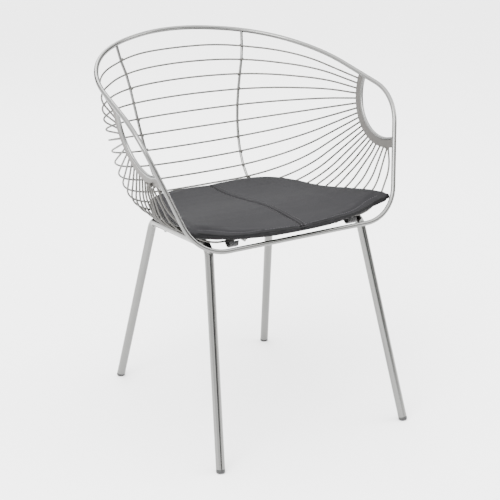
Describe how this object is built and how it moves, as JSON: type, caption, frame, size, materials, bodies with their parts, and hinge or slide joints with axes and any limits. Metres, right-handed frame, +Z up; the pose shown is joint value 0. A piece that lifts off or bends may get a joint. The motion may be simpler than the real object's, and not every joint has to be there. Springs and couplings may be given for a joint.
{
  "type": "wire mesh chair",
  "caption": "Dining armchair with a shell of bent steel wires in a round-bar rim, ring-shaped arm plates, tube legs and a strapped seat pad.",
  "frame": {"origin": "on the floor, at the middle of the chair's outline seen from above", "axes": "+Z up, the sitter faces -Y, and +X is the sitter's left"},
  "size_m": [0.6242, 0.6322, 0.7873],
  "materials": {
    "chromed_bar": "polished chrome on steel bar and tube",
    "satin_steel": "satin plated steel wire and plate",
    "black_plastic": "black moulded plastic with a slight sheen",
    "pad_cover": "fine-grained charcoal faux leather, matte",
    "pad_foam": "pale upholstery foam",
    "strap_webbing": "black hook-and-loop webbing"
  },
  "bodies": {
    "root": {"rim_frame": "chromed_bar", "left_arm_loop_bar": "chromed_bar", "right_arm_loop_bar": "chromed_bar", "left_support_bar": "chromed_bar", "right_support_bar": "chromed_bar", "left_leg_frame": "chromed_bar", "right_leg_frame": "chromed_bar", "front_cross_bar": "chromed_bar", "rear_cross_bar": "chromed_bar", "left_arm_plate": "satin_steel", "right_arm_plate": "satin_steel", "shell_wire_01": "satin_steel", "shell_wire_02": "satin_steel", "shell_wire_03": "satin_steel", "shell_wire_04": "satin_steel", "shell_wire_05": "satin_steel", "shell_wire_06": "satin_steel", "shell_wire_07": "satin_steel", "shell_wire_08": "satin_steel", "shell_wire_09": "satin_steel", "shell_wire_10": "satin_steel", "shell_wire_11": "satin_steel", "shell_wire_12": "satin_steel", "shell_wire_13": "satin_steel", "shell_wire_14": "satin_steel", "shell_wire_15": "satin_steel", "shell_wire_16": "satin_steel", "shell_wire_17": "satin_steel", "shell_wire_18": "satin_steel", "shell_wire_19": "satin_steel", "shell_wire_20": "satin_steel", "shell_wire_21": "satin_steel", "left_front_foot_glide": "black_plastic", "left_rear_foot_glide": "black_plastic", "right_front_foot_glide": "black_plastic", "right_rear_foot_glide": "black_plastic", "seat_pad_cover": "pad_cover", "seat_pad_foam": "pad_foam", "left_front_pad_strap": "strap_webbing", "left_rear_pad_strap": "strap_webbing", "right_front_pad_strap": "strap_webbing", "right_rear_pad_strap": "strap_webbing"}
  },
  "joints": []
}
